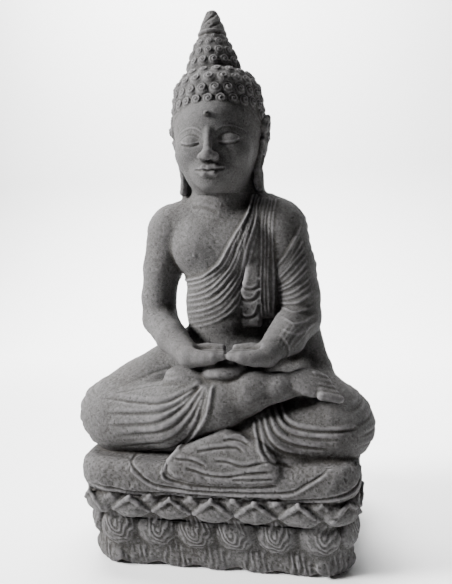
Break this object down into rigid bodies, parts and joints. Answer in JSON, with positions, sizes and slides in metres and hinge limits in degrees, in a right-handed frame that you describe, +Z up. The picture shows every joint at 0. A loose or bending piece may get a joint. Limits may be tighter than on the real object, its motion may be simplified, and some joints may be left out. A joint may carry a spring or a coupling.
{
  "type": "seated buddha statue",
  "caption": "Seated meditation figure of dark volcanic stone on a lotus plinth, in stacked blocks joined by mortar beds and steel dowels.",
  "frame": {"origin": "centre of the statue's outline in plan, on the underside of the plinth", "axes": "+Z up through the finial; the figure faces -Y, and +X is its left hand side"},
  "size_m": [0.274, 0.172, 0.5],
  "materials": {
    "volcanic_stone": "dark warm grey volcanic stone, finely pitted and matt, dusty on its ridges and dark in its crevices",
    "mortar": "matt grey cement mortar, fine sand grain",
    "dowel_steel": "plain stainless rod, lightly brushed along its length",
    "urna_stone": "near-black stone, rubbed smooth, with a faint dull shine"
  },
  "bodies": {
    "root": {"lower_lotus_block": "volcanic_stone", "upper_lotus_block": "volcanic_stone", "legs_block": "volcanic_stone", "torso_block": "volcanic_stone", "head_block": "volcanic_stone", "ushnisha_finial": "volcanic_stone", "urna_bead": "urna_stone", "plinth_mortar_bed": "mortar", "seat_mortar_bed": "mortar", "waist_mortar_bed": "mortar", "neck_mortar_bed": "mortar", "finial_mortar_bed": "mortar", "plinth_dowels": "dowel_steel", "seat_dowels": "dowel_steel", "waist_dowels": "dowel_steel", "neck_dowel": "dowel_steel", "finial_dowel": "dowel_steel"}
  },
  "joints": []
}
